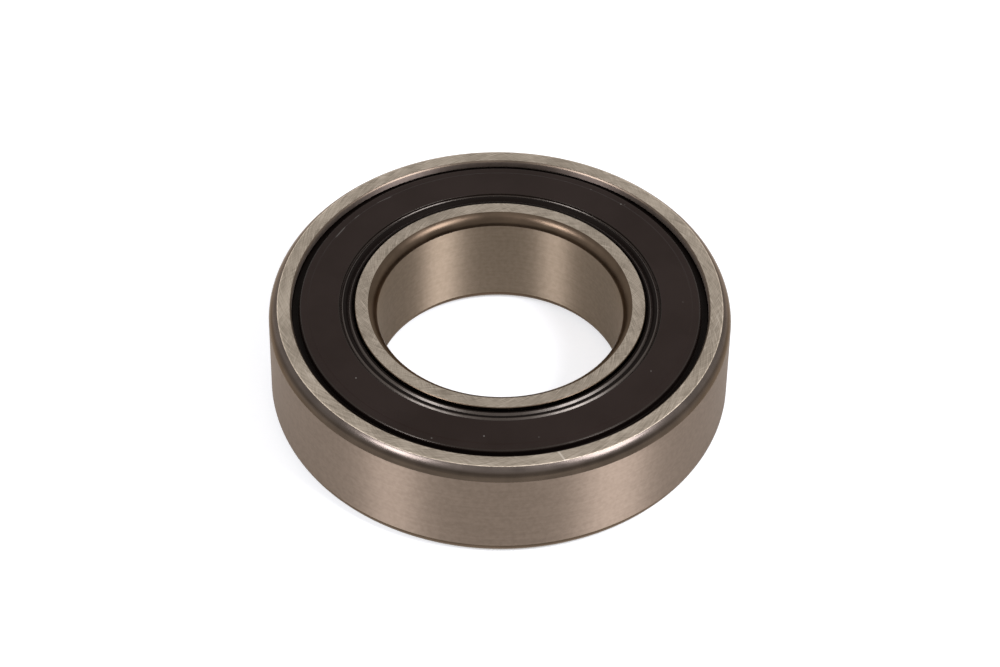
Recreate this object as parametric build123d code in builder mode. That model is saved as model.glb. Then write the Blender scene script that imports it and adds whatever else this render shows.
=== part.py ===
# Sealed single-row deep groove ball bearing, in millimetres.
# Z is the axis it turns on and the origin is the middle of the bore, so the two side faces
# lie half the ring width above and below it. Each piece of the bearing is its own solid.
from build123d import *
import os

# Boundary sizes
bore_diameter = 25.0
outside_diameter = 47.0
ring_width = 12.0

# Balls, and the grooves they run in
ball_diameter = 6.35
ball_count = 10
ball_play = 0.01            # gap between a ball and each raceway
outer_groove_ease = 0.19    # groove radius less ball radius, outer ring
inner_groove_ease = 0.125   # the same, inner ring
shoulder_height = 1.185     # from the bottom of a raceway up to its shoulder
race_edge_radius = 0.12

# Turned corners of the rings, which meet the ground faces at a crisp edge
outer_corner_radial = 0.9
outer_corner_axial = 1.45
inner_corner_radial = 0.93
inner_corner_axial = 1.25
corner_bulge = 0.2          # rise of the corner's arc over its chord

# Outer ring: recess over the seal, and the groove its bead snaps into
recess_rim_wall = 2.32      # from the outside diameter to the recess wall
recess_rim_break = 0.1
recess_land = 0.75          # length of the recess wall
bead_groove_depth = 0.45
bead_groove_lead = 0.3
bead_seat_depth = 1.58      # from the side face to the ledge under the bead
groove_root_radius = 0.08
ledge_break = 0.3

# Inner ring: ground land for the seal lip, and the step behind it
lip_step_rise = 1.25        # from the land up to the shoulder
lip_land_break = 0.06
lip_step_depth = 1.7        # from the side face to the step
lip_step_radius = 0.15

# Seal: rubber moulded round a flanged ring of sheet steel
seal_sink = 0.12            # from the side face down to the flat of the rubber
rubber_skin = 0.4           # rubber over the steel
insert_sheet = 0.35
insert_bend_radius = 0.45
flange_cover = 0.2          # rubber outside the flange
flange_end_cover = 0.15     # rubber under the flange
rim_gap = 0.77              # open channel between recess wall and rubber disc
channel_depth = 0.95        # from the side face to the channel's floor
channel_root_radius = 0.12
bead_height = 0.45
bead_radius = 0.12
bead_gap = 0.02             # round the bead, in its groove
disc_edge_radius = 0.28
edge_band_width = 0.82      # the disc's outer band, a little lower than its middle
edge_band_step = 0.06

# Seal lip, listed from the disc inwards to the land
lip_zone_width = 1.5        # from the land to the flat of the disc
lip_root_cover = 0.35       # rubber between the steel and the groove round the lip
lip_groove_width = 0.3
lip_groove_depth = 0.38
lip_groove_taper = 0.07
lip_ridge_width = 0.35
lip_ridge_sink = 0.1
lip_valley_width = 0.16
lip_valley_sink = 0.3
lip_brow_width = 0.2
lip_brow_sink = 0.2
lip_tip_depth = 0.85
lip_tip_height = 0.16
side_lip_width = 0.22
side_lip_flare = 0.2
lip_clearance = 0.05        # between the lip and the inner ring
lip_soft_radius = 0.04

# Cage: two halves pressed from sheet, riveted together between the balls
cage_sheet = 0.6
cage_side_gap = 0.4         # between the cage and the shoulders of the rings
pocket_gap = 0.12           # between a ball and its pocket
pocket_mouth_radius = 0.4
cage_bend_radius = 0.2
rivet_diameter = 1.2
rivet_hole_gap = 0.02
rivet_head_rim = 0.4        # the head's overhang past the shank
rivet_head_height = 0.45

# Radii and heights that follow from the sizes above
bore_radius = bore_diameter / 2
outside_radius = outside_diameter / 2
half_width = ring_width / 2
ball_radius = ball_diameter / 2
pitch_radius = (bore_radius + outside_radius) / 2
outer_race_radius = pitch_radius + ball_radius + ball_play
inner_race_radius = pitch_radius - ball_radius - ball_play
outer_shoulder_radius = outer_race_radius - shoulder_height
inner_shoulder_radius = inner_race_radius + shoulder_height
outer_groove_radius = ball_radius + outer_groove_ease
inner_groove_radius = ball_radius + inner_groove_ease
recess_radius = outside_radius - recess_rim_wall
bead_groove_radius = recess_radius + bead_groove_depth
bead_seat_height = half_width - bead_seat_depth
land_radius = inner_shoulder_radius - lip_step_rise
lip_step_height = half_width - lip_step_depth


def near(points, tolerance=0.001):
    """A filter that keeps the vertices standing on any of the given profile points."""
    places = [Vector(*point) for point in points]
    return lambda vertex: any((Vector(vertex) - place).length < tolerance for place in places)


def rings(edges, radius, tolerance=0.001):
    """The circular edges of the given radius."""
    return edges.filter_by(GeomType.CIRCLE).filter_by(lambda edge: abs(edge.radius - radius) < tolerance)


def write(piece, name):
    """Labels a finished piece and writes it as its own file."""
    piece.label = name
    export_step(piece, f"parts/{name}.step")


os.makedirs("parts", exist_ok=True)

# Outer ring: the upper half of the section, mirrored, then the raceway cut by a torus
with BuildPart() as outer_ring:
    with BuildSketch(Plane.XZ):
        with BuildLine():
            Line((outside_radius, 0), (outside_radius, half_width - outer_corner_axial))
            SagittaArc(
                (outside_radius, half_width - outer_corner_axial),
                (outside_radius - outer_corner_radial, half_width),
                -corner_bulge,
            )
            Polyline(
                (outside_radius - outer_corner_radial, half_width),
                (recess_radius + recess_rim_break, half_width),
                (recess_radius, half_width - recess_rim_break),
                (recess_radius, half_width - recess_land),
                (bead_groove_radius, half_width - recess_land - bead_groove_lead),
                (bead_groove_radius, bead_seat_height),
                (outer_shoulder_radius + ledge_break, bead_seat_height),
                (outer_shoulder_radius, bead_seat_height - ledge_break),
                (outer_shoulder_radius, 0),
            )
            mirror(about=Plane.XZ)
        make_face()
    revolve(axis=Axis.Z)
    fillet(rings(outer_ring.edges(), bead_groove_radius), groove_root_radius)
    with BuildSketch(Plane.XZ):
        with Locations((outer_race_radius - outer_groove_radius, 0)):
            Circle(outer_groove_radius)
    revolve(axis=Axis.Z, mode=Mode.SUBTRACT)
    fillet(rings(outer_ring.edges(Select.LAST), outer_shoulder_radius), race_edge_radius)
write(outer_ring.part, "outer_ring")

# Inner ring
with BuildPart() as inner_ring:
    with BuildSketch(Plane.XZ):
        with BuildLine():
            Line((bore_radius, 0), (bore_radius, half_width - inner_corner_axial))
            SagittaArc(
                (bore_radius, half_width - inner_corner_axial),
                (bore_radius + inner_corner_radial, half_width),
                corner_bulge,
            )
            Polyline(
                (bore_radius + inner_corner_radial, half_width),
                (land_radius - lip_land_break, half_width),
                (land_radius, half_width - lip_land_break),
                (land_radius, lip_step_height),
                (inner_shoulder_radius - lip_step_radius, lip_step_height),
                (inner_shoulder_radius, lip_step_height - lip_step_radius),
                (inner_shoulder_radius, 0),
            )
            mirror(about=Plane.XZ)
        make_face()
    revolve(axis=Axis.Z)
    step_roots = rings(inner_ring.edges(), land_radius).sort_by(Axis.Z)[1:3]
    fillet(step_roots, lip_step_radius)
    with BuildSketch(Plane.XZ):
        with Locations((inner_race_radius + inner_groove_radius, 0)):
            Circle(inner_groove_radius)
    revolve(axis=Axis.Z, mode=Mode.SUBTRACT)
    fillet(rings(inner_ring.edges(Select.LAST), inner_shoulder_radius), race_edge_radius)
write(inner_ring.part, "inner_ring")

# Balls, evenly spaced on the pitch circle
for ball_index in range(ball_count):
    with BuildPart() as ball:
        with PolarLocations(pitch_radius, 1, start_angle=ball_index * 360 / ball_count):
            Sphere(ball_radius)
    write(ball.part, f"ball_{ball_index + 1:02d}")

# Cage half: a flat strip with a round pocket over each ball, trimmed to the strip's width
pocket_radius = ball_radius + pocket_gap
pocket_outer_radius = pocket_radius + cage_sheet
blank_overhang = pocket_outer_radius + cage_bend_radius + cage_sheet
rivet_start = 180 / ball_count
with BuildPart() as cage_upper_half:
    with BuildSketch():
        Circle(pitch_radius + blank_overhang)
        Circle(pitch_radius - blank_overhang, mode=Mode.SUBTRACT)
    extrude(amount=cage_sheet)
    with PolarLocations(pitch_radius, ball_count):
        Sphere(pocket_outer_radius)
    split(bisect_by=Plane.XY, keep=Keep.TOP)
    bend_edges = cage_upper_half.edges().filter_by(GeomType.CIRCLE).filter_by(Plane.XY)
    bend_edges = bend_edges.filter_by(lambda edge: edge.radius < pocket_outer_radius)
    fillet(bend_edges, cage_bend_radius)
    with PolarLocations(pitch_radius, ball_count):
        Sphere(pocket_radius, mode=Mode.SUBTRACT)
    mouth_edges = cage_upper_half.edges(Select.LAST).filter_by(GeomType.CIRCLE).filter_by(Plane.XY)
    fillet(mouth_edges, pocket_mouth_radius)
    with PolarLocations(pitch_radius, ball_count, start_angle=rivet_start):
        Hole(rivet_diameter / 2 + rivet_hole_gap)
    with BuildSketch():
        Circle(outer_shoulder_radius - cage_side_gap)
        Circle(inner_shoulder_radius + cage_side_gap, mode=Mode.SUBTRACT)
    extrude(amount=pocket_outer_radius, mode=Mode.INTERSECT)
write(cage_upper_half.part, "cage_upper_half")

with BuildPart() as cage_lower_half:
    mirror(cage_upper_half.part, about=Plane.XY)
write(cage_lower_half.part, "cage_lower_half")

# Rivets: a shank through both halves, with a domed head on each side
rivet_radius = rivet_diameter / 2
rivet_head_radius = rivet_radius + rivet_head_rim
rivet_half_length = cage_sheet + rivet_head_height
with BuildPart() as rivet:
    with BuildSketch(Plane.XZ):
        with BuildLine():
            TangentArc((0, rivet_half_length), (rivet_head_radius, cage_sheet), tangent=(1, 0))
            Polyline(
                (rivet_head_radius, cage_sheet),
                (rivet_radius, cage_sheet),
                (rivet_radius, 0),
            )
            mirror(about=Plane.XZ)
            Line((0, rivet_half_length), (0, -rivet_half_length))
        make_face()
    revolve(axis=Axis.Z)
with BuildPart() as cage_rivets:
    with PolarLocations(pitch_radius, ball_count, start_angle=rivet_start):
        add(rivet.part)
write(cage_rivets.part, "cage_rivets")

# Heights and radii of the upper seal
flat_height = half_width - seal_sink
disc_radius = recess_radius - rim_gap
disc_inner_radius = land_radius + lip_zone_width
band_height = flat_height - edge_band_step
channel_height = half_width - channel_depth
bead_radius_at_wall = bead_groove_radius - bead_gap
insert_top = flat_height - rubber_skin
insert_underside = insert_top - insert_sheet
insert_inner_radius = disc_inner_radius + lip_root_cover
flange_radius = disc_radius - flange_cover
flange_end = bead_seat_height + flange_end_cover

# Steel ring inside the upper seal: flat, with its outer edge turned down
with BuildPart() as upper_seal_insert:
    with BuildSketch(Plane.XZ) as insert_section:
        with BuildLine():
            Polyline(
                (insert_inner_radius, insert_top),
                (flange_radius, insert_top),
                (flange_radius, flange_end),
                (flange_radius - insert_sheet, flange_end),
                (flange_radius - insert_sheet, insert_underside),
                (insert_inner_radius, insert_underside),
                close=True,
            )
        make_face()
        fillet(insert_section.vertices().filter_by(near([(flange_radius, insert_top)])), insert_bend_radius)
    revolve(axis=Axis.Z)
write(upper_seal_insert.part, "upper_seal_insert")

# Rubber of the upper seal: its whole section, less the steel ring
lip_outer = disc_inner_radius - lip_groove_width
lip_ridge_inner = lip_outer - lip_ridge_width
lip_brow_outer = lip_ridge_inner - lip_valley_width
lip_brow_inner = lip_brow_outer - lip_brow_width
lip_tip_radius = land_radius + lip_clearance
lip_tip_top = flat_height - lip_tip_depth
side_lip_end = lip_step_height + lip_clearance
disc_face = [
    (disc_radius, band_height),
    (disc_radius - edge_band_width, band_height),
    (disc_radius - edge_band_width - edge_band_step, flat_height),
    (disc_inner_radius, flat_height),
]
lip_face = [
    (disc_inner_radius - lip_groove_taper, flat_height - lip_groove_depth),
    (lip_outer + lip_groove_taper, flat_height - lip_groove_depth),
    (lip_outer, flat_height - lip_ridge_sink),
    (lip_ridge_inner, flat_height - lip_ridge_sink),
    ((lip_ridge_inner + lip_brow_outer) / 2, flat_height - lip_valley_sink),
    (lip_brow_outer, flat_height - lip_brow_sink),
    (lip_brow_inner, flat_height - lip_brow_sink),
]
lip_underside = [
    (lip_tip_radius, lip_tip_top),
    (lip_tip_radius, lip_tip_top - lip_tip_height),
    (lip_brow_inner, lip_tip_top - lip_tip_height / 2),
    (lip_brow_inner + side_lip_flare, side_lip_end),
    (lip_brow_inner + side_lip_flare + side_lip_width, side_lip_end),
    (lip_outer, insert_underside),
]
bead_outline = [
    (flange_radius - insert_sheet, bead_seat_height),
    (bead_radius_at_wall, bead_seat_height),
    (bead_radius_at_wall, bead_seat_height + bead_height),
    (recess_radius - recess_rim_break, channel_height),
    (disc_radius, channel_height),
]
with BuildPart() as upper_seal:
    with BuildSketch(Plane.XZ) as seal_section:
        with BuildLine():
            Polyline(
                *disc_face,
                *lip_face,
                *lip_underside,
                (flange_radius - insert_sheet, insert_underside),
                *bead_outline,
                close=True,
            )
        make_face()
        fillet(seal_section.vertices().filter_by(near(disc_face[:1])), disc_edge_radius)
        fillet(seal_section.vertices().filter_by(near(bead_outline[1:3])), bead_radius)
        fillet(seal_section.vertices().filter_by(near(bead_outline[-1:])), channel_root_radius)
        fillet(seal_section.vertices().filter_by(near(disc_face[-1:] + lip_face)), lip_soft_radius)
    revolve(axis=Axis.Z)
    add(upper_seal_insert.part, mode=Mode.SUBTRACT)
write(upper_seal.part, "upper_seal")

# The lower seal is the same, turned over
with BuildPart() as lower_seal_insert:
    mirror(upper_seal_insert.part, about=Plane.XY)
write(lower_seal_insert.part, "lower_seal_insert")

with BuildPart() as lower_seal:
    mirror(upper_seal.part, about=Plane.XY)
write(lower_seal.part, "lower_seal")
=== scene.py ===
import bpy
from math import atan, cos, pi, radians, sin
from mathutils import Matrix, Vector


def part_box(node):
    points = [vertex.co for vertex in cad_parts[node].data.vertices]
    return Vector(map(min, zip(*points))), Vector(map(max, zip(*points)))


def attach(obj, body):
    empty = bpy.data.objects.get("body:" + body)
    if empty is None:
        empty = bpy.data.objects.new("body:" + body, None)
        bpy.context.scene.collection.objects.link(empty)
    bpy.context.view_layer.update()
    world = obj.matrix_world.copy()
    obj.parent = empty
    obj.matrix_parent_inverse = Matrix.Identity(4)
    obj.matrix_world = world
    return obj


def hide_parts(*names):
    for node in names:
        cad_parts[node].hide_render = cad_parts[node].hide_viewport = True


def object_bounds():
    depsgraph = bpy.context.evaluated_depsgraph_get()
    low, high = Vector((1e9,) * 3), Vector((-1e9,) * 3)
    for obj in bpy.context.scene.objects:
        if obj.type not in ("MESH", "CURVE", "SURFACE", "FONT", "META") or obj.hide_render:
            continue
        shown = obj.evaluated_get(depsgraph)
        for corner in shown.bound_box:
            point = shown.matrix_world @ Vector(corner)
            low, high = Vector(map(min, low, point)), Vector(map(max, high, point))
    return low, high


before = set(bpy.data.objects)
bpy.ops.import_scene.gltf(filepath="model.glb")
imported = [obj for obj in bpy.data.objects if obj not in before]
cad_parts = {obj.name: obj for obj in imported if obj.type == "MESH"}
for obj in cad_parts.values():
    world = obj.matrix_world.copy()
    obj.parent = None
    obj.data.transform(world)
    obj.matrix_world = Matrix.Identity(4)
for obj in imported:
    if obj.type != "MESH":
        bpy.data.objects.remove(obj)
cadLow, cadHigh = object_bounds()

mm = 0.001

# sizes that the frame gives
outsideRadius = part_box("outer_ring")[1].x
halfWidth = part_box("outer_ring")[1].z
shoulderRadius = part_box("inner_ring")[1].x
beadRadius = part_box("upper_seal")[1].x
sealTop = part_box("upper_seal")[1].z
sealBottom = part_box("upper_seal")[0].z
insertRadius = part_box("upper_seal_insert")[1].x
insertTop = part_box("upper_seal_insert")[1].z
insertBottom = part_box("upper_seal_insert")[0].z


cameraSet = {
    "lens": 129.75,
    "sensor": 36,
    "clipStart": 0.01,
    "distance": 369.97 * mm,
    # in degrees
    "elevation": 45.384,
    "pitch": 44.779,
    "roll": -0.634,
    "turn": 0.632,
}


def makeCamera():
    lift = radians(cameraSet["elevation"])
    place = Vector((0, -cos(lift), sin(lift))) * cameraSet["distance"]
    bpy.ops.object.camera_add(location=place)
    camera = bpy.context.object
    camera.name = "camera"
    camera.rotation_euler = [radians(cameraSet[turn]) for turn in ("pitch", "roll", "turn")]
    camera.data.lens = cameraSet["lens"]
    camera.data.sensor_width = cameraSet["sensor"]
    camera.data.clip_start = cameraSet["clipStart"]
    bpy.context.scene.camera = camera


strokeCore = (0.3, 0.2)  # how far along and across a stroke its full strength reaches


class Nodes:
    # wraps a material's node tree so that a pattern reads as a few short lines

    def __init__(self, name):
        self.material = bpy.data.materials.new(name)
        self.material.use_nodes = True
        self.tree = self.material.node_tree
        self.shader = self.tree.nodes["Principled BSDF"]
        self.place = self.add("ShaderNodeTexCoord").outputs["Object"]

    def add(self, kind, **settings):
        node = self.tree.nodes.new(kind)
        for key, value in settings.items():
            setattr(node, key, value)
        return node

    def feed(self, socket, value):
        if isinstance(value, bpy.types.NodeSocket):
            self.tree.links.new(value, socket)
        else:
            socket.default_value = value

    def feedColour(self, socket, value):
        self.feed(socket, value if isinstance(value, bpy.types.NodeSocket) else (*value, 1))

    def math(self, operation, first, second=0.0):
        node = self.add("ShaderNodeMath", operation=operation)
        self.feed(node.inputs[0], first)
        self.feed(node.inputs[1], second)
        return node.outputs[0]

    def vector(self, x, y, z):
        node = self.add("ShaderNodeCombineXYZ")
        for socket, value in zip(node.inputs, (x, y, z)):
            self.feed(socket, value)
        return node.outputs[0]

    def split(self, vector):
        node = self.add("ShaderNodeSeparateXYZ")
        self.feed(node.inputs[0], vector)
        return node.outputs

    def polar(self):
        # radius and angle round Z
        x, y, z = self.split(self.place)
        squares = self.math("ADD", self.math("MULTIPLY", x, x), self.math("MULTIPLY", y, y))
        return self.math("SQRT", squares), self.math("ARCTAN2", y, x)

    def stretched(self, scales):
        # object coordinates with a scale for each axis, for marks that run one way
        node = self.add("ShaderNodeMapping")
        self.feed(node.inputs["Vector"], self.place)
        node.inputs["Scale"].default_value = scales
        return node.outputs[0]

    def noise(self, where, scale=1.0, detail=3.0, rough=0.55):
        node = self.add("ShaderNodeTexNoise")
        self.feed(node.inputs["Vector"], where)
        node.inputs["Scale"].default_value = scale
        node.inputs["Detail"].default_value = detail
        node.inputs["Roughness"].default_value = rough
        return node.outputs["Fac"]

    def spread(self, value, fromRange, toRange=(0.0, 1.0)):
        # carries one range of a value softly over to another
        node = self.add("ShaderNodeMapRange", interpolation_type="SMOOTHSTEP")
        for socket, item in zip(node.inputs, (value, *fromRange, *toRange)):
            self.feed(socket, item)
        return node.outputs[0]

    def blend(self, amount, first, second):
        node = self.add("ShaderNodeMix", data_type="RGBA")
        self.feed(node.inputs[0], amount)
        self.feedColour(node.inputs[6], first)
        self.feedColour(node.inputs[7], second)
        return node.outputs[2]

    def weighed(self, first, second, share):
        rest = self.math("MULTIPLY", first, 1 - share)
        return self.math("ADD", rest, self.math("MULTIPLY", second, share))

    def scaled(self, colour, amount):
        node = self.add("ShaderNodeVectorMath", operation="SCALE")
        self.feed(node.inputs[0], colour)
        self.feed(node.inputs["Scale"], amount)
        return node.outputs[0]

    def stroke(self, middle, direction, length, width):
        # one straight mark seen from above: 1 along its middle, fading to 0 away from it
        node = self.add("ShaderNodeMapping", vector_type="TEXTURE")
        self.feed(node.inputs["Vector"], self.place)
        node.inputs["Location"].default_value = (*middle, 0)
        node.inputs["Rotation"].default_value = (0, 0, radians(direction))
        x, y, z = self.split(node.outputs[0])
        along = self.spread(self.math("ABSOLUTE", x), (length * strokeCore[0], length / 2), (1, 0))
        across = self.spread(self.math("ABSOLUTE", y), (width * strokeCore[1], width), (1, 0))
        return self.math("MULTIPLY", along, across)

    def bump(self, height, distance):
        node = self.add("ShaderNodeBump")
        node.inputs["Distance"].default_value = distance
        self.feed(node.inputs["Height"], height)
        return node.outputs[0]

    def finish(self, **sockets):
        for name, value in sockets.items():
            self.feed(self.shader.inputs[name], value)
        return self.material


noiseRange = (0.3, 0.7)  # most of a noise lies between these
noiseMiddle = (0.35, 0.65)  # the same with more contrast

groundFace = {
    # each face finish's colour is scaled; the edge finish is 1.6 times lighter, a painted highlight along
    # the outer face's edge
    "shades": {"ground_outer_face": 0.98, "ground_inner_face": 0.91, "ground_edge_painted_highlight": 1.6},
    "dark": (0.215, 0.178, 0.139),
    "light": (0.425, 0.361, 0.293),
    "hair": (0.54, 0.48, 0.41),
    "strokes": 130,
    "strokeLength": 0.95 * mm,
    "strokeRough": 0.6,
    "slants": (130, -78),
    "slantShare": 0.35,
    "clouds": 260,
    "cloudShare": 0.2,
    "toneRange": (0.4, 0.6),
    "hairRange": (0.62, 0.74),
    "hairStrength": 0.5,
    "roughness": (0.34, 0.5),
    "relief": 0.0012 * mm,
    # x and y of the middle, direction in degrees, length, width, strength
    "scratches": [
        (6.2, -21.05, -60, 1.9, 0.13, 1.0),
        (21.82, -2.75, 69, 1.9, 0.05, 0.45),
        (22.06, -1.31, 67, 1.7, 0.05, 0.45),
        (21.95, -0.4, 66, 1.2, 0.04, 0.35),
        (-19.09, -10.46, -64, 1.9, 0.05, 0.45),
        (-18.52, -11.07, -65, 1.8, 0.06, 0.5),
        (-20.6, -6.6, -60, 1.2, 0.04, 0.3),
    ],
}


def makeGroundFace(name):
    # short strokes across the face, from the grinding wheels, over a slow change of tone
    nodes = Nodes(name)
    radius, angle = nodes.polar()
    strokes = []
    for slant in groundFace["slants"]:
        across = nodes.math("ADD", angle, nodes.math("MULTIPLY", radius, slant))
        around = nodes.math("MULTIPLY", across, groundFace["strokes"])
        along = nodes.math("DIVIDE", radius, groundFace["strokeLength"])
        strokes.append(nodes.noise(nodes.vector(around, along, slant), rough=groundFace["strokeRough"]))
    marks = nodes.weighed(*strokes, groundFace["slantShare"])
    clouds = nodes.noise(nodes.place, groundFace["clouds"])
    hairs = nodes.spread(
        nodes.math("MAXIMUM", *strokes), groundFace["hairRange"], (0.0, groundFace["hairStrength"]),
    )
    for x, y, direction, length, width, strength in groundFace["scratches"]:
        mark = nodes.stroke((x * mm, y * mm), direction, length * mm, width * mm)
        hairs = nodes.math("MAXIMUM", hairs, nodes.math("MULTIPLY", mark, strength))
    tone = nodes.spread(nodes.weighed(marks, clouds, groundFace["cloudShare"]), groundFace["toneRange"])
    colour = nodes.blend(tone, groundFace["dark"], groundFace["light"])
    colour = nodes.blend(hairs, colour, groundFace["hair"])
    return nodes.finish(**{
        "Metallic": 1.0,
        "Base Color": nodes.scaled(colour, groundFace["shades"][name]),
        "Roughness": nodes.spread(marks, noiseMiddle, groundFace["roughness"]),
        "Normal": nodes.bump(marks, groundFace["relief"]),
    })


groundRound = {
    # dark and light colour, roughness and tint of the grazing light of each surface
    # the outside is coloured darker than the side faces: a painted shade on the upright side
    "ground_outside_painted_shade": ((0.198, 0.15, 0.114), (0.237, 0.181, 0.139), 0.5, 0.96),
    "ground_bore": ((0.229, 0.175, 0.125), (0.27, 0.209, 0.153), 0.55, 1.0),
    # the seal recess's wall is coloured darker than the other ground steel, a painted shade in the
    # recess; its low grazing tint darkens it further
    "turned_recess_painted_shade": ((0.158, 0.122, 0.102), (0.202, 0.16, 0.137), 0.47, 0.75),
    "lines": (90, 90, 3200),
    "lineDetail": 2,
    "lineShare": 0.35,
    "grain": 2100,
    "smear": 1.0,
    "smearTurn": 0.25,
}


def makeGroundRound(name):
    # fine lines run round the ring, so lights smear into upright stripes
    dark, light, roughness, edgeTint = groundRound[name]
    nodes = Nodes(name)
    lines = nodes.noise(nodes.stretched(groundRound["lines"]), detail=groundRound["lineDetail"])
    grain = nodes.noise(nodes.place, groundRound["grain"])
    tone = nodes.weighed(grain, lines, groundRound["lineShare"])
    tangent = nodes.add("ShaderNodeTangent", direction_type="RADIAL", axis="Z")
    return nodes.finish(**{
        "Metallic": 1.0,
        "Base Color": nodes.blend(nodes.spread(tone, noiseRange), dark, light),
        "Specular Tint": (edgeTint, edgeTint, edgeTint, 1),
        "Roughness": roughness,
        "Anisotropic": groundRound["smear"],
        "Anisotropic Rotation": groundRound["smearTurn"],
        "Tangent": tangent.outputs[0],
    })


turnedSteel = {
    # colours of the outer corner's two bands and the line between them, then of the other places; all are
    # darker than the ground steel, partly the turned finish and partly painted shade, and the corner's
    # lighter upper band and darker line are a painted reflection
    "upper": (0.098, 0.079, 0.068),
    "line": (0.052, 0.039, 0.03),
    "lower": (0.069, 0.051, 0.037),
    # the bore corner's colour, darker than the ground steel: partly the turned finish, partly painted
    # shade
    "bore": (0.077, 0.054, 0.037),
    # dark brown of the outer ring's rim break at the seal recess: a painted shade
    "break": (0.1, 0.076, 0.058),
    "land": (0.25, 0.205, 0.165),
    "lineDepth": 0.62 * mm,
    "lineWidth": 0.34 * mm,
    "cornerRoughness": (0.22, 0.29),
    "boreRoughness": (0.27, 0.34),
    "landRoughness": (0.13, 0.2),
    "waves": (90, 90, 2600),
    "stains": 330,
    "stainDetail": 4,
    "stainShare": 0.5,
    "shades": (0.78, 1.12),
    "relief": 0.0006 * mm,
    "edgeTint": (0.75, 0.66, 0.58, 1),
}


def makeTurnedSteel(name, *parts):
    # turned before hardening and left so: smoother, and darker partly by that finish and partly by
    # painted shade; the two bands with a darker line between, set by height, are a painted reflection
    upper, line, lower, roughness = [turnedSteel[part] for part in parts]
    nodes = Nodes(name)
    waves = nodes.noise(nodes.stretched(turnedSteel["waves"]))
    stains = nodes.noise(nodes.place, turnedSteel["stains"], turnedSteel["stainDetail"])
    # the bands and the line by depth below the side face: a painted reflection on the corner's curve
    height = nodes.split(nodes.place)[2]
    depth = nodes.math("SUBTRACT", halfWidth, nodes.math("ABSOLUTE", height))
    width = turnedSteel["lineWidth"]
    past = nodes.math("SUBTRACT", depth, turnedSteel["lineDepth"])
    band = nodes.spread(past, (-width / 2, width / 2))
    edge = nodes.spread(nodes.math("ABSOLUTE", past), (0, width), (1, 0))
    colour = nodes.blend(edge, nodes.blend(band, upper, lower), line)
    mottle = nodes.weighed(waves, stains, turnedSteel["stainShare"])
    return nodes.finish(**{
        "Metallic": 1.0,
        "Base Color": nodes.scaled(colour, nodes.spread(mottle, noiseMiddle, turnedSteel["shades"])),
        "Specular Tint": turnedSteel["edgeTint"],
        "Roughness": nodes.spread(stains, noiseRange, roughness),
        "Normal": nodes.bump(waves, turnedSteel["relief"]),
    })


sealRubber = {
    "dark": (0.0115, 0.0068, 0.0055),
    "light": (0.0155, 0.0098, 0.0082),
    "dust": (0.2, 0.185, 0.165),
    "skin": 900,
    "skinDetail": 4,
    "skinRough": 0.6,
    "clouds": 110,
    "relief": 0.003 * mm,
    # how far the colour is darkened, a painted shade that is deepest in the sunk groove and channel and
    # lighter on the rims and edges, then specular level and roughness of each zone
    "zones": {
        "flat": (1.0, 0.09, (0.3, 0.42)),
        "sunk_painted_shade": (0.3, 0.05, (0.4, 0.5)),
        "ridge": (0.8, 0.6, (0.25, 0.33)),
        "rim": (0.6, 0.24, (0.22, 0.3)),
        "groove": (0.6, 0.46, (0.2, 0.26)),
    },
    "gleam": (1.0, 0.88, 0.76, 1),
    # fine dust: scale of its grains, their soft edge, which are kept, and how much they show
    "grains": 620,
    "grainEdge": (0.03, 0.075),
    "grainsKept": (0.92, 0.96),
    "grainStrength": 0.35,
    "dustRoughness": 0.3,
    # x, y and width of single specks of dust
    "specks": [
        (-1.38, -18.49, 0.16), (-14.21, -10.86, 0.15), (15.14, -9.26, 0.12), (12.45, 15.01, 0.18),
        (4.0, -18.51, 0.09), (9.34, 17.23, 0.1), (18.57, 0.6, 0.08),
    ],
    # x, y, direction in degrees, length and width of rubbed places
    "rubs": [
        (-16.63, 10.11, 60, 2.1, 0.1), (-12.25, 15.13, 33, 2.0, 0.07), (-15.02, 12.48, 52, 0.9, 0.07),
    ],
    "rubStrength": 0.3,
}


def makeRubber(zone):
    # moulded rubber with a fine skin, dull where it is flat, with dust and rubbed places, and darkened by
    # zone as a painted shade
    shade, gloss, roughness = sealRubber["zones"][zone]
    nodes = Nodes("seal_rubber_" + zone)
    skin = nodes.noise(nodes.place, sealRubber["skin"], sealRubber["skinDetail"], sealRubber["skinRough"])
    clouds = nodes.noise(nodes.place, sealRubber["clouds"])
    colour = nodes.blend(nodes.spread(clouds, noiseRange), sealRubber["dark"], sealRubber["light"])
    grains = nodes.add("ShaderNodeTexVoronoi", feature="F1", distance="EUCLIDEAN")
    nodes.feed(grains.inputs["Vector"], nodes.place)
    grains.inputs["Scale"].default_value = sealRubber["grains"]
    speck = nodes.spread(grains.outputs["Distance"], sealRubber["grainEdge"], (1, 0))
    kept = nodes.spread(nodes.split(grains.outputs["Color"])[0], sealRubber["grainsKept"])
    dust = nodes.math("MULTIPLY", nodes.math("MULTIPLY", speck, kept), sealRubber["grainStrength"])
    for x, y, width in sealRubber["specks"]:
        dust = nodes.math("MAXIMUM", dust, nodes.stroke((x * mm, y * mm), 0, width * mm, width * mm / 2))
    for x, y, direction, length, width in sealRubber["rubs"]:
        rub = nodes.stroke((x * mm, y * mm), direction, length * mm, width * mm)
        dust = nodes.math("MAXIMUM", dust, nodes.math("MULTIPLY", rub, sealRubber["rubStrength"]))
    rough = nodes.spread(skin, noiseRange, roughness)
    dull = nodes.math("MULTIPLY", dust, sealRubber["dustRoughness"])
    return nodes.finish(**{
        "Base Color": nodes.blend(dust, nodes.scaled(colour, shade), sealRubber["dust"]),
        "Specular IOR Level": gloss,
        "Specular Tint": sealRubber["gleam"],
        "Roughness": nodes.math("ADD", rough, dull),
        "Normal": nodes.bump(nodes.math("ADD", skin, dust), sealRubber["relief"]),
    })


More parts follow.
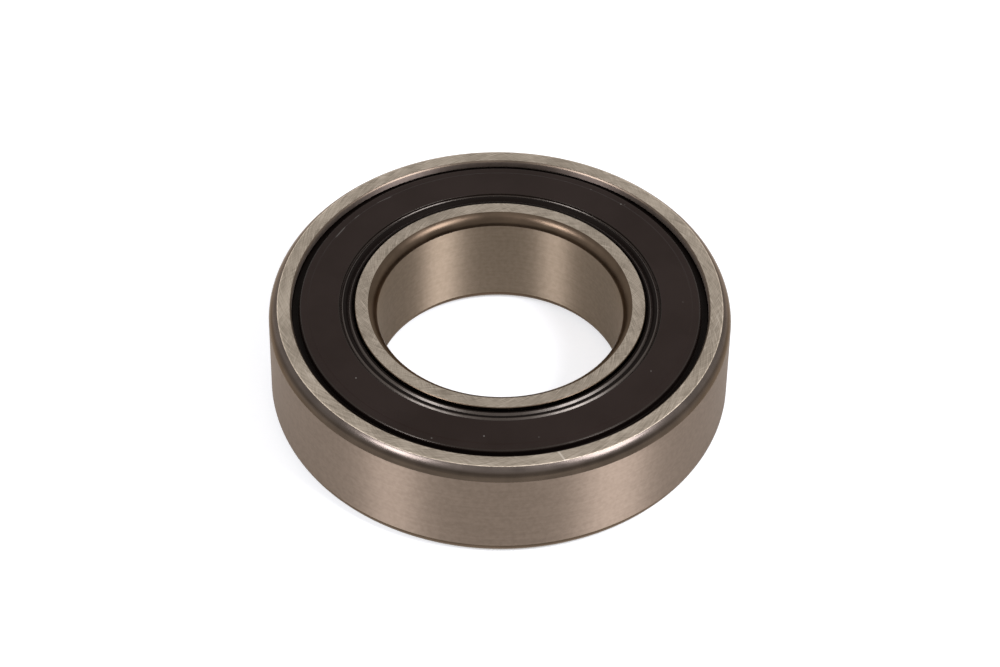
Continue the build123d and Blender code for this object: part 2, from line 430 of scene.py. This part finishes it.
sheetSteel = {
    "dark": (0.36, 0.35, 0.33),
    "light": (0.5, 0.49, 0.465),
    "rolling": (40, 900, 900),
    "spots": 500,
    "spotDetail": 4,
    "spotShare": 0.4,
    "roughness": (0.3, 0.45),
    "relief": 0.0008 * mm,
}


def makeSheetSteel():
    # cold-rolled sheet, dull, with faint rolling lines
    nodes = Nodes("sheet_steel")
    rolled = nodes.noise(nodes.stretched(sheetSteel["rolling"]))
    spots = nodes.noise(nodes.place, sheetSteel["spots"], sheetSteel["spotDetail"])
    tone = nodes.spread(nodes.weighed(rolled, spots, sheetSteel["spotShare"]), noiseRange)
    return nodes.finish(**{
        "Metallic": 1.0,
        "Base Color": nodes.blend(tone, sheetSteel["dark"], sheetSteel["light"]),
        "Roughness": nodes.spread(spots, noiseRange, sheetSteel["roughness"]),
        "Normal": nodes.bump(rolled, sheetSteel["relief"]),
    })


# scale of the marks on each axis, dark and light colour, roughness and relief
smoothSteels = {
    # headed cold: smooth crowns with a burnished look
    "rivet_steel": ((1400, 1400, 1400), (0.42, 0.4, 0.37), (0.58, 0.56, 0.53), (0.22, 0.36), 0.0008 * mm),
    # lapped and polished, with the faintest run marks
    "ball_steel": ((300, 300, 2400), (0.62, 0.615, 0.61), (0.7, 0.695, 0.69), (0.05, 0.09), 0.0001 * mm),
}


def makeSmoothSteel(name):
    scales, dark, light, roughness, relief = smoothSteels[name]
    nodes = Nodes(name)
    marks = nodes.noise(nodes.stretched(scales))
    return nodes.finish(**{
        "Metallic": 1.0,
        "Base Color": nodes.blend(nodes.spread(marks, noiseRange), dark, light),
        "Roughness": nodes.spread(marks, noiseRange, roughness),
        "Normal": nodes.bump(marks, relief),
    })


turning = {
    "startSize": 0.1 * mm,
    "mergeWithin": 0.0005 * mm,
    "pickWithin": 0.002 * mm,
    "roundSteps": 5,
    "arcSteps": 24,
    "segments": 288,
    "smoothAngle": 4,
    # how close to a surface a face counts as part of it, and how far up a side face looks
    "near": 0.01 * mm,
    "sideFaceUp": 0.999,
}


def deselectAll():
    bpy.ops.object.select_all(action="DESELECT")


def arcPoints(start, end, bulge):
    # points between two ends of an arc that rises by bulge to the left of the way it runs
    start, end = Vector(start), Vector(end)
    chord = end - start
    left = Vector((-chord.y, chord.x)).normalized()
    halfAngle = 2 * atan(2 * abs(bulge) / chord.length)
    radius = chord.length / 2 / sin(halfAngle)
    side = 1 if bulge > 0 else -1
    centre = (start + end) / 2 + left * side * (abs(bulge) - radius)
    arm = start - centre
    points = []
    for step in range(1, turning["arcSteps"]):
        turn = -side * halfAngle * 2 * step / turning["arcSteps"]
        x = centre.x + arm.x * cos(turn) - arm.y * sin(turn)
        y = centre.y + arm.x * sin(turn) + arm.y * cos(turn)
        points.append((x, y))
    return points


def selectAt(piece, corners):
    # selects the vertices of the section that stand on the given corners
    bpy.ops.mesh.select_all(action="DESELECT")
    bpy.ops.object.mode_set(mode="OBJECT")
    for vertex in piece.data.vertices:
        for radius, height in corners:
            if (vertex.co - Vector((radius, 0, height))).length < turning["pickWithin"]:
                vertex.select = True
    bpy.ops.object.mode_set(mode="EDIT")


def turnPiece(name, outline, rounds, body, slotName, *nodes):
    # draws a closed section point by point, softens its corners, and spins it round Z
    deselectAll()
    startRadius, startHeight = outline[0]
    bpy.ops.mesh.primitive_plane_add(size=turning["startSize"], location=(startRadius, 0, startHeight))
    piece = bpy.context.object
    piece.name = name
    bpy.ops.object.transform_apply(location=True, rotation=True, scale=True)
    bpy.ops.object.mode_set(mode="EDIT")
    bpy.ops.mesh.select_all(action="SELECT")
    bpy.ops.mesh.merge(type="CENTER")
    for here, there in zip(outline, outline[1:] + outline[:1]):
        step = (there[0] - here[0], 0, there[1] - here[1])
        bpy.ops.mesh.extrude_vertices_move(TRANSFORM_OT_translate={"value": step})
    bpy.ops.mesh.select_all(action="SELECT")
    bpy.ops.mesh.remove_doubles(threshold=turning["mergeWithin"])
    for soft, corners in rounds:
        selectAt(piece, corners)
        bpy.ops.mesh.bevel(offset=soft, segments=turning["roundSteps"], affect="VERTICES")
    bpy.ops.mesh.select_all(action="SELECT")
    bpy.ops.mesh.spin(steps=turning["segments"], angle=2 * pi, center=(0, 0, 0), axis=(0, 0, 1))
    bpy.ops.mesh.select_all(action="SELECT")
    bpy.ops.mesh.remove_doubles(threshold=turning["mergeWithin"])
    bpy.ops.mesh.normals_make_consistent(inside=False)
    bpy.ops.object.mode_set(mode="OBJECT")
    bpy.ops.object.shade_smooth_by_angle(angle=radians(turning["smoothAngle"]))
    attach(piece, body)
    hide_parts(*nodes)
    print("made", name, len(piece.data.polygons))
    return piece


def dress(piece, finishes, chooseZone):
    # gives each face the finish of the zone that it lies in
    order = list(finishes)
    piece.data.materials.clear()
    for zone in order:
        piece.data.materials.append(finishes[zone])
    for face in piece.data.polygons:
        radius = Vector((face.center.x, face.center.y)).length
        outward = (face.normal.x * face.center.x + face.normal.y * face.center.y) / radius
        face.material_index = order.index(chooseZone(radius, face.center.z, outward, face.normal.z))


def mirrored(half):
    # the upper half of a section, then the same points below, in the other order
    return half + [(radius, -height) for radius, height in reversed(half) if height > 0]


def raceArc(ring, shoulder, bulge):
    # the upper half of the ball groove, from the shoulder down to its middle
    opening = (ring["raceRadius"] ** 2 - (ring["raceRadius"] - ring["raceDepth"]) ** 2) ** 0.5
    arc = arcPoints((shoulder, opening), (shoulder, -opening), bulge)
    upper = [point for point in arc if point[1] > turning["mergeWithin"]]
    return [(shoulder, opening), *upper, (shoulder + bulge, 0)]


def isSideFace(height, up):
    return abs(up) > turning["sideFaceUp"] and abs(height) > halfWidth - turning["near"]


outerRing = {
    "cornerRadial": 0.9 * mm,
    "cornerAxial": 1.45 * mm,
    "cornerBulge": 0.2 * mm,
    "edgeSoft": 0.05 * mm,
    "edgeUp": 0.86,
    "rimWall": 2.32 * mm,
    "rimBreak": 0.14 * mm,
    "rimSoft": 0.03 * mm,
    "recessLand": 0.75 * mm,
    "grooveDepth": 0.45 * mm,
    "grooveLead": 0.3 * mm,
    "seatDepth": 1.58 * mm,
    "ledgeBreak": 0.3 * mm,
    "shoulder": 20.0 * mm,
    "raceDepth": 1.185 * mm,
    "raceRadius": 3.365 * mm,
}


def makeOuterRing(finishes):
    ring = outerRing
    recess = outsideRadius - ring["rimWall"]
    groove = recess + ring["grooveDepth"]
    seat = halfWidth - ring["seatDepth"]
    corner = [
        (outsideRadius, halfWidth - ring["cornerAxial"]),
        (outsideRadius - ring["cornerRadial"], halfWidth),
    ]
    half = [
        # corner and side face
        corner[0],
        *arcPoints(*corner, -ring["cornerBulge"]),
        corner[1],
        # recess and groove for the seal
        (recess + ring["rimBreak"], halfWidth),
        (recess, halfWidth - ring["rimBreak"]),
        (recess, halfWidth - ring["recessLand"]),
        (groove, halfWidth - ring["recessLand"] - ring["grooveLead"]),
        (groove, seat),
        # ledge, shoulder and raceway
        (ring["shoulder"] + ring["ledgeBreak"], seat),
        (ring["shoulder"], seat - ring["ledgeBreak"]),
        *raceArc(ring, ring["shoulder"], ring["raceDepth"]),
    ]
    rims = [(recess + ring["rimBreak"], side * halfWidth) for side in (1, -1)]
    rims += [(recess, side * (halfWidth - ring["rimBreak"])) for side in (1, -1)]
    edges = [(corner[1][0], side * halfWidth) for side in (1, -1)]
    piece = turnPiece(
        "outer_ring_turned", mirrored(half), [(ring["rimSoft"], rims), (ring["edgeSoft"], edges)],
        "outer_ring_assembly", "ring_steel", "outer_ring",
    )

    def zone(radius, height, outward, up):
        if isSideFace(height, up):
            return "face"
        if radius > outsideRadius - turning["near"]:
            return "outside"
        # the bevel along the face's outer edge takes the lighter edge finish, a painted highlight
        if abs(up) > ring["edgeUp"] and outward > 0 and abs(height) > halfWidth - ring["edgeSoft"]:
            return "edge"
        if radius > outsideRadius - ring["cornerRadial"] - turning["near"]:
            return "corner"
        # the rim break and the recess wall take darker finishes: painted shade in the seal recess
        return "break" if abs(height) > halfWidth - ring["rimBreak"] else "recess"

    dress(piece, finishes, zone)


innerRing = {
    "cornerRadial": 0.93 * mm,
    "cornerAxial": 1.25 * mm,
    "cornerBulge": 0.2 * mm,
    "bore": 12.5 * mm,
    "landBreak": 0.06 * mm,
    "rootSoft": 0.12 * mm,
    "stepRise": 1.25 * mm,
    "stepDepth": 1.7 * mm,
    "stepBreak": 0.15 * mm,
    "raceDepth": 1.185 * mm,
    "raceRadius": 3.3 * mm,
}


def makeInnerRing(finishes):
    ring = innerRing
    land = shoulderRadius - ring["stepRise"]
    step = halfWidth - ring["stepDepth"]
    corner = [
        (ring["bore"], halfWidth - ring["cornerAxial"]),
        (ring["bore"] + ring["cornerRadial"], halfWidth),
    ]
    half = [
        # corner of the bore and side face
        corner[0],
        *arcPoints(*corner, ring["cornerBulge"]),
        corner[1],
        # land for the lip
        (land - ring["landBreak"], halfWidth),
        (land, halfWidth - ring["landBreak"]),
        (land, step),
        # step, shoulder and raceway
        (shoulderRadius - ring["stepBreak"], step),
        (shoulderRadius, step - ring["stepBreak"]),
        *raceArc(ring, shoulderRadius, -ring["raceDepth"]),
    ]
    roots = [(land, step), (land, -step)]
    piece = turnPiece(
        "inner_ring_turned", mirrored(half), [(ring["rootSoft"], roots)],
        "inner_ring", "ring_steel", "inner_ring",
    )

    def zone(radius, height, outward, up):
        if isSideFace(height, up):
            return "face"
        if radius < ring["bore"] + turning["near"]:
            return "bore"
        if radius < ring["bore"] + ring["cornerRadial"] + turning["near"] and outward < 0:
            return "corner"
        # the land's break takes the dark bore-corner finish, a painted shade that dims its glint
        return "corner" if abs(height) > halfWidth - ring["landBreak"] else "recess"

    dress(piece, finishes, zone)


seal = {
    "discEdge": 20.41 * mm,
    "discEdgeSoft": 0.28 * mm,
    "bandWidth": 0.82 * mm,
    "bandStep": 0.045 * mm,
    "bandSlope": 0.14 * mm,
    "channelDepth": 0.95 * mm,
    "channelOuter": 21.08 * mm,
    "beadHeight": 0.45 * mm,
    "beadSoft": 0.12 * mm,
    "sheet": 0.35 * mm,
    "sheetInner": 16.6 * mm,
    "sheetBend": 0.45 * mm,
    # radius and depth under the flat, in mm, from the disc's edge inwards
    "lipFace": {
        "edge": [(16.36, 0)],
        "groove": [(16.3, 0.228), (16.24, 0.2835)],
        "ridge": [(15.98, 0.07)],
        "lip": [(15.7, 0.07), (15.48, 0.34), (15.24, 0.14), (15.05, 0.14), (15.01, 0.42), (14.9, 0.33)],
    },
    "grooveSoft": 0.01 * mm,
    "ridgeSoft": 0.08 * mm,
    "lipSoft": 0.05 * mm,
    "lipFaceDepth": 0.45 * mm,
    "neck": 15.95 * mm,
    "tipRadius": 14.8 * mm,
    "tipDepth": 0.85 * mm,
    "tipHeight": 0.16 * mm,
    "sideLipRoot": 15.24 * mm,
    "sideLipFlare": 0.2 * mm,
    "sideLipWidth": 0.22 * mm,
    "sideLipEnd": 4.35 * mm,
    # the part of the normals, upwards and sideways, that counts as slanted
    "slantUp": (0.25, 0.97),
    "slantOut": 0.2,
}


def makeSeal(name, side, node, finishes):
    flat = sealTop if side > 0 else -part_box("lower_seal")[0].z
    bandTop = flat - seal["bandStep"]
    bandInner = seal["discEdge"] - seal["bandWidth"]
    tipTop = flat - seal["tipDepth"]
    flareRadius = seal["sideLipRoot"] + seal["sideLipFlare"]
    underside = insertTop - seal["sheet"]
    flangeInner = insertRadius - seal["sheet"]
    channel = halfWidth - seal["channelDepth"]
    lip = {
        part: [(radius * mm, flat - depth * mm) for radius, depth in points]
        for part, points in seal["lipFace"].items()
    }
    outline = [
        # sunken band and flat of the disc
        (seal["discEdge"], bandTop),
        (bandInner, bandTop),
        (bandInner - seal["bandSlope"], flat),
        *lip["edge"],
        # the lip, its tip and the side lip under it
        *lip["groove"],
        *lip["ridge"],
        *lip["lip"],
        (seal["tipRadius"], tipTop),
        (seal["tipRadius"], tipTop - seal["tipHeight"]),
        (seal["sideLipRoot"], tipTop - seal["tipHeight"] / 2),
        (flareRadius, seal["sideLipEnd"]),
        (flareRadius + seal["sideLipWidth"], seal["sideLipEnd"]),
        # back along the steel ring and round it
        (seal["neck"], underside),
        (seal["sheetInner"], underside),
        (seal["sheetInner"], insertTop),
        (insertRadius, insertTop),
        (insertRadius, insertBottom),
        (flangeInner, insertBottom),
        (flangeInner, sealBottom),
        # bead in the outer ring's groove, and the channel over it
        (beadRadius, sealBottom),
        (beadRadius, sealBottom + seal["beadHeight"]),
        (seal["channelOuter"], channel),
        (seal["discEdge"], channel),
    ]
    rounds = [
        (seal["discEdgeSoft"], [(seal["discEdge"], bandTop)]),
        (seal["beadSoft"], outline[-4:-2] + outline[-1:]),
        (seal["sheetBend"], [(insertRadius, insertTop)]),
        (seal["grooveSoft"], lip["groove"]),
        (seal["ridgeSoft"], lip["ridge"]),
        (seal["lipSoft"], lip["edge"] + lip["lip"]),
    ]
    outline = [(radius, side * height) for radius, height in outline]
    rounds = [(soft, [(radius, side * height) for radius, height in corners]) for soft, corners in rounds]
    piece = turnPiece(name, outline, rounds, "outer_ring_assembly", "seal_rubber", node)

    discInner = lip["edge"][0][0]
    grooveOuter, grooveInner = [radius for radius, height in lip["groove"]]
    rimInner = seal["discEdge"] - seal["discEdgeSoft"]
    rimDepth = seal["discEdgeSoft"] + seal["bandStep"]
    slantLow, slantHigh = seal["slantUp"]

    def zone(radius, height, outward, up):
        depth = flat - side * height
        slanted = slantLow < abs(up) < slantHigh and depth < seal["lipFaceDepth"]
        if slanted and outward > seal["slantOut"]:
            if radius < discInner:
                return "ridge"
            if depth < rimDepth and radius > rimInner:
                return "rim"
        if slanted and outward < -seal["slantOut"]:
            if grooveInner < radius < grooveOuter:
                return "groove"
            if abs(radius - discInner) < seal["lipSoft"]:
                return "rim"
        # below the disc's flat and in the channel the rubber takes the sunk zone's darker colour, a
        # painted shade
        onDisc = discInner - seal["lipSoft"] < radius < seal["discEdge"]
        return "flat" if onDisc and depth < seal["discEdgeSoft"] else "sunk_painted_shade"

    dress(piece, finishes, zone)


def repaint(node, material):
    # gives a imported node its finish; its shape stays as packed
    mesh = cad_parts[node].data
    mesh.materials.clear()
    mesh.materials.append(material)


def seenRays(tree):
    # 1 for rays that show the background: from the camera, off metal and through glass
    path = tree.nodes.new("ShaderNodeLightPath")
    seen = path.outputs["Is Camera Ray"]
    for ray in ("Is Glossy Ray", "Is Transmission Ray"):
        either = tree.nodes.new("ShaderNodeMath")
        either.operation = "MAXIMUM"
        tree.links.new(seen, either.inputs[0])
        tree.links.new(path.outputs[ray], either.inputs[1])
        seen = either.outputs[0]
    return seen


floorSet = {
    "size": 6,
    "colour": (0.8, 0.8, 0.8, 1),
    "roughness": 0.9,
    "glow": 0.42,  # what the rays that show the background see on top of the lit floor
}


def makeFloor():
    deselectAll()
    bpy.ops.mesh.primitive_plane_add(size=floorSet["size"], location=(0, 0, cadLow.z))
    floor = bpy.context.object
    floor.name = "floor"
    nodes = Nodes("floor_white")
    nodes.finish(**{
        "Base Color": floorSet["colour"],
        "Roughness": floorSet["roughness"],
        "Specular IOR Level": 0.0,
    })
    glow = nodes.add("ShaderNodeEmission")
    glow.inputs["Color"].default_value = (1, 1, 1, 1)
    nodes.feed(glow.inputs["Strength"], nodes.math("MULTIPLY", seenRays(nodes.tree), floorSet["glow"]))
    both = nodes.add("ShaderNodeAddShader")
    nodes.feed(both.inputs[0], nodes.shader.outputs[0])
    nodes.feed(both.inputs[1], glow.outputs[0])
    output = nodes.tree.nodes["Material Output"]
    nodes.feed(output.inputs["Surface"], both.outputs[0])
    floor.data.materials.append(nodes.material)


studio = {
    "onObject": 0.45,  # strength of the white surroundings as light
    "seen": 1.0,  # their strength as background
}


def makeWorld():
    world = bpy.data.worlds.new("studio")
    bpy.context.scene.world = world
    world.use_nodes = True
    tree = world.node_tree
    background = tree.nodes["Background"]
    background.inputs["Color"].default_value = (1, 1, 1, 1)
    strength = tree.nodes.new("ShaderNodeMapRange")
    strength.inputs["To Min"].default_value = studio["onObject"]
    strength.inputs["To Max"].default_value = studio["seen"]
    tree.links.new(seenRays(tree), strength.inputs["Value"])
    tree.links.new(strength.outputs[0], background.inputs["Strength"])


softLights = {
    "left": {"azimuth": 218.5, "elevation": 44, "distance": 0.6, "size": 0.18, "power": 1.85},
    "right": {"azimuth": 330, "elevation": 48, "distance": 0.6, "size": 0.22, "power": 3.05},
}
lightColour = (0.96, 0.98, 1.06)


def makeLights():
    for name, light in softLights.items():
        around, lift = radians(light["azimuth"]), radians(light["elevation"])
        way = Vector((cos(lift) * cos(around), cos(lift) * sin(around), sin(lift)))
        bpy.ops.object.light_add(type="AREA", location=way * light["distance"])
        lamp = bpy.context.object
        lamp.name = "soft_" + name
        lamp.rotation_euler = way.to_track_quat("Z", "Y").to_euler()
        lamp.data.shape = "SQUARE"
        lamp.data.size = light["size"]
        lamp.data.energy = light["power"]
        lamp.data.color = lightColour


makeCamera()
makeFloor()
makeWorld()
makeLights()
print("camera, floor and lights are set")

makeOuterRing({
    "face": makeGroundFace("ground_outer_face"),
    "outside": makeGroundRound("ground_outside_painted_shade"),
    "corner": makeTurnedSteel("turned_corner_and_painted_reflection", "upper", "line", "lower", "cornerRoughness"),
    "recess": makeGroundRound("turned_recess_painted_shade"),
    "break": makeTurnedSteel("turned_break_painted_shade", "break", "break", "break", "boreRoughness"),
    "edge": makeGroundFace("ground_edge_painted_highlight"),
})
makeInnerRing({
    "face": makeGroundFace("ground_inner_face"),
    "bore": makeGroundRound("ground_bore"),
    "corner": makeTurnedSteel("turned_bore_corner_and_painted_shade", "bore", "bore", "bore", "boreRoughness"),
    "recess": makeTurnedSteel("turned_land", "land", "land", "land", "landRoughness"),
})
rubbers = {zone: makeRubber(zone) for zone in sealRubber["zones"]}
makeSeal("upper_seal_moulded", 1, "upper_seal", rubbers)
makeSeal("lower_seal_moulded", -1, "lower_seal", rubbers)
print("rings and seals are made")

sheetFinish = makeSheetSteel()
for node in ("upper_seal_insert", "lower_seal_insert", "cage_upper_half", "cage_lower_half"):
    repaint(node, sheetFinish)
repaint("cage_rivets", makeSmoothSteel("rivet_steel"))
ballFinish = makeSmoothSteel("ball_steel")
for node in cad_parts:
    if node.startswith("ball_"):
        repaint(node, ballFinish)
print("inner pieces are finished")

bpy.context.scene.view_settings.view_transform = "Standard"
